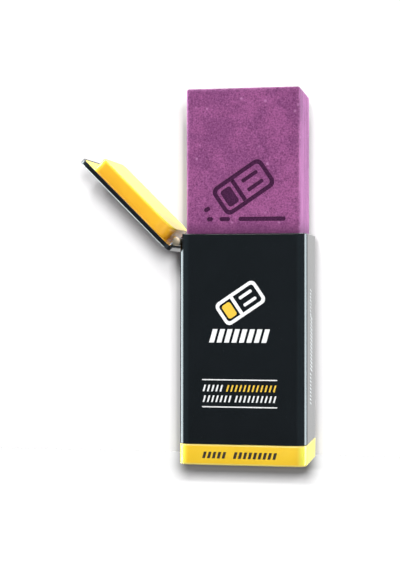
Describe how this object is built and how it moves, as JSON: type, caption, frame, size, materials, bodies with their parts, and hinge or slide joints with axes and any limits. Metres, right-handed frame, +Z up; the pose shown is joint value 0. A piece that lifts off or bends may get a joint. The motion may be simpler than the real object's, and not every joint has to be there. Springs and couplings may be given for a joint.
{
  "type": "suede eraser in a flip-top case",
  "caption": "Block of suede eraser that slides up out of an upright rounded case with a hinged, plugged lid and a contrasting foot band.",
  "frame": {"origin": "middle of the flat underside of the base cup, on the surface that the case stands on", "axes": "+Z up along the case, -Y towards the printed front, +X to the right of the front; the lid is hinged at -X"},
  "size_m": [0.081, 0.033, 0.132],
  "materials": {
    "case_black": "glossy black moulded plastic",
    "band_yellow": "satin yellow moulded plastic",
    "eraser_purple": "mottled matt eraser rubber with a fine suede grain",
    "hinge_steel": "plain rolled steel",
    "pin_steel": "satin turned steel",
    "rivet_steel": "satin steel",
    "lid_black": "glossy black moulded plastic",
    "lid_yellow": "satin yellow moulded plastic"
  },
  "bodies": {
    "case": {"case_sleeve": "case_black", "base_cup": "band_yellow", "hinge_leaf_case": "hinge_steel", "hinge_pin": "pin_steel", "case_rivet_front": "rivet_steel", "case_rivet_back": "rivet_steel"},
    "lid": {"lid_shell": "lid_black", "lid_insert": "lid_yellow", "hinge_leaf_lid": "hinge_steel", "lid_rivet_front": "rivet_steel", "lid_rivet_back": "rivet_steel"},
    "eraser": {"eraser_block": "eraser_purple"}
  },
  "joints": [
    {"name": "lid_hinge", "type": "hinge", "parent": "case", "child": "lid", "pos_m": [-0.0235, 0, 0.0782], "axis": [0, 1, 0], "range_deg": [-40, 45]},
    {"name": "eraser_slide", "type": "slide", "parent": "case", "child": "eraser", "axis": [0, 0, 1], "range_m": [-0.0569, 0.015]}
  ]
}
